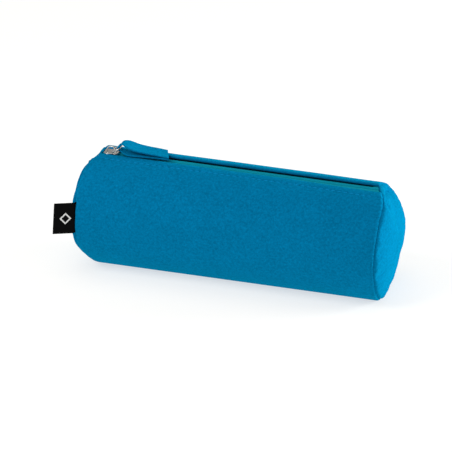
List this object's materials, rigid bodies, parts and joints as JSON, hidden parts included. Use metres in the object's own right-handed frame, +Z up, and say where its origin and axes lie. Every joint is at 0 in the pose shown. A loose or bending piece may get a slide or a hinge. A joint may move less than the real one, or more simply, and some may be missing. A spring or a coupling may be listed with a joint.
{
  "type": "pencil case",
  "caption": "Round barrel pencil case in brushed blue fabric, with a coil zip along the top, a fabric pull strip, round end panels and a side label.",
  "frame": {"origin": "middle of the flat base, on the surface that the case lies on", "axes": "+Z up, +X along the case from the end with the slider and label, front panel facing -Y"},
  "size_m": [0.2256, 0.0852, 0.0805],
  "materials": {
    "case_fabric": "matte",
    "binding_tape": "matte",
    "sewing_thread": "satin",
    "zip_tape": "matte",
    "zip_coil": "satin",
    "label_weave": "satin",
    "label_mark": "satin",
    "nickel": "satin"
  },
  "bodies": {
    "case": {"base_panel": "case_fabric", "end_panel_left": "case_fabric", "end_panel_right": "case_fabric", "seam_binding_left": "binding_tape", "seam_binding_right": "binding_tape", "side_label": "label_weave", "label_mark": "label_mark"},
    "front_lip": {"front_panel": "case_fabric", "topstitch_front": "sewing_thread", "zip_tape_front": "zip_tape", "zip_coil_front": "zip_coil"},
    "back_lip": {"back_panel": "case_fabric", "topstitch_back": "sewing_thread", "zip_tape_back": "zip_tape", "zip_coil_back": "zip_coil"},
    "slider": {"slider_body": "nickel", "slider_bridge": "nickel"},
    "link": {"pull_link": "nickel"},
    "strip": {"pull_strip": "case_fabric"}
  },
  "joints": [
    {"name": "zip_slide", "type": "slide", "parent": "case", "child": "slider", "axis": [1, 0, 0], "range_m": [0, 0.172], "deforming": ["zip_tape_front", "zip_coil_front", "zip_tape_back", "zip_coil_back"]},
    {"name": "front_lip_open", "type": "hinge", "parent": "case", "child": "front_lip", "pos_m": [0, -0.015, 0], "axis": [1, 0, 0], "range_deg": [0, 12]},
    {"name": "back_lip_open", "type": "hinge", "parent": "case", "child": "back_lip", "pos_m": [0, 0.015, 0], "axis": [-1, 0, 0], "range_deg": [0, 12]},
    {"name": "link_swing", "type": "hinge", "parent": "slider", "child": "link", "pos_m": [-0.0893, 0, 0.07585], "axis": [0, -1, 0], "range_deg": [0, 95]},
    {"name": "strip_swing", "type": "hinge", "parent": "link", "child": "strip", "pos_m": [-0.08445, 0, 0.07865], "axis": [0, -1, 0], "range_deg": [0, 45]}
  ],
  "couplings": [
    {"joint": "front_lip_open", "follows": "zip_slide", "rad_per_m": 1.2176},
    {"joint": "back_lip_open", "follows": "zip_slide", "rad_per_m": 1.2176}
  ]
}
